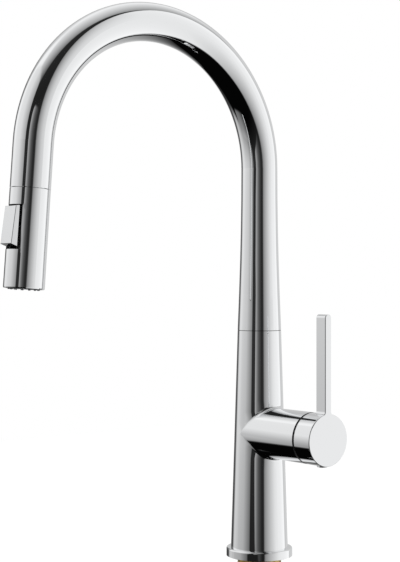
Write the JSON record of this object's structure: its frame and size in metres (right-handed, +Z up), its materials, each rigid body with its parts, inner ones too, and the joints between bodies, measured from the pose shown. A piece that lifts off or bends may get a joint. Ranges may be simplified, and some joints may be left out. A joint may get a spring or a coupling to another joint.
{
  "type": "kitchen faucet",
  "caption": "Single lever kitchen faucet with a tapered column, a high arched swivel spout and a pull-down spray head with a rocker for the jet.",
  "frame": {"origin": "on the column's axis at the top of the deck, which the base gasket rests on", "axes": "+Z up along the column, -Y towards the spray head, +X along the valve barrel towards its lever"},
  "size_m": [0.1043, 0.2519, 0.5018],
  "materials": {
    "polished_chrome": "polished chrome plate",
    "turned_brass": "bright machined brass",
    "zinc_steel": "zinc plated, dull",
    "stainless_steel": "bright drawn stainless steel",
    "black_rubber": "moulded rubber, matt",
    "black_plastic": "moulded glass filled plastic, fine grain",
    "white_acetal": "turned acetal, satin",
    "grey_plastic": "moulded plastic, satin",
    "grey_silicone": "moulded silicone, satin",
    "nylon_braid": "grey nylon braid over a hose",
    "ceramic": "lapped alumina ceramic"
  },
  "bodies": {
    "root": {"base_gasket": "black_rubber", "base_flange": "polished_chrome", "threaded_shank": "turned_brass", "rubber_washer": "black_rubber", "steel_washer": "zinc_steel", "mounting_nut": "turned_brass", "nut_screws": "zinc_steel", "body_column": "polished_chrome", "spout_grub_screw": "stainless_steel", "seam_washer": "black_plastic", "cartridge_base": "grey_plastic", "base_seals": "black_rubber", "fixed_disc": "ceramic", "cartridge_body": "grey_plastic", "cartridge_oring": "black_rubber", "cartridge_nut": "turned_brass", "bonnet": "black_plastic"},
    "spout": {"spout_tube": "polished_chrome", "spout_spigot": "turned_brass", "lower_glide_ring": "white_acetal", "upper_glide_ring": "white_acetal", "dock_bush": "white_acetal", "pull_hose": "nylon_braid", "hose_coupling": "turned_brass"},
    "spray_head": {"docking_collar": "polished_chrome", "hose_end_fitting": "turned_brass", "spray_housing": "polished_chrome", "spray_core": "black_plastic", "inlet_filter": "stainless_steel", "check_valve": "grey_plastic", "rocker_pin": "stainless_steel", "aerator": "grey_plastic", "nozzle_mat": "grey_silicone", "spray_face": "black_plastic"},
    "rocker": {"rocker_button": "polished_chrome"},
    "spool": {"diverter_spool": "white_acetal", "spool_seals": "black_rubber"},
    "mixer": {"stem_rotor": "white_acetal", "stem_pin": "stainless_steel"},
    "disc": {"moving_disc": "ceramic", "disc_carrier": "white_acetal"},
    "lever": {"handle": "polished_chrome", "stem": "stainless_steel", "handle_screw": "stainless_steel", "handle_plug": "polished_chrome"}
  },
  "joints": [
    {"name": "spout_swivel", "type": "hinge", "parent": "root", "child": "spout", "pos_m": [0, 0, 0.158], "axis": [0, 0, 1], "continuous": true},
    {"name": "head_pull_out", "type": "slide", "parent": "spout", "child": "spray_head", "axis": [0, -0.075, -0.9972], "range_m": [0, 0.45], "stiffness_N_per_m": 1.5, "springref_m": -3},
    {"name": "spray_rocker", "type": "hinge", "parent": "spray_head", "child": "rocker", "pos_m": [0, -0.21565, 0.25025], "axis": [1, 0, 0], "range_deg": [0, 8.6]},
    {"name": "diverter_travel", "type": "slide", "parent": "spray_head", "child": "spool", "axis": [0, -0.075, -0.9972], "range_m": [-0.00085, 0]},
    {"name": "temperature_turn", "type": "hinge", "parent": "root", "child": "mixer", "pos_m": [0.0442, 0, 0.0965], "axis": [1, 0, 0], "range_deg": [-45, 45]},
    {"name": "flow_tilt", "type": "hinge", "parent": "mixer", "child": "lever", "pos_m": [0.0442, 0, 0.0965], "axis": [0, 1, 0], "range_deg": [0, 22]},
    {"name": "disc_travel", "type": "slide", "parent": "mixer", "child": "disc", "axis": [0, 0, 1], "range_m": [0, 0.0048]}
  ],
  "couplings": [
    {"joint": "diverter_travel", "follows": "spray_rocker", "m_per_rad": -0.0056},
    {"joint": "disc_travel", "follows": "flow_tilt", "m_per_rad": 0.012423}
  ]
}
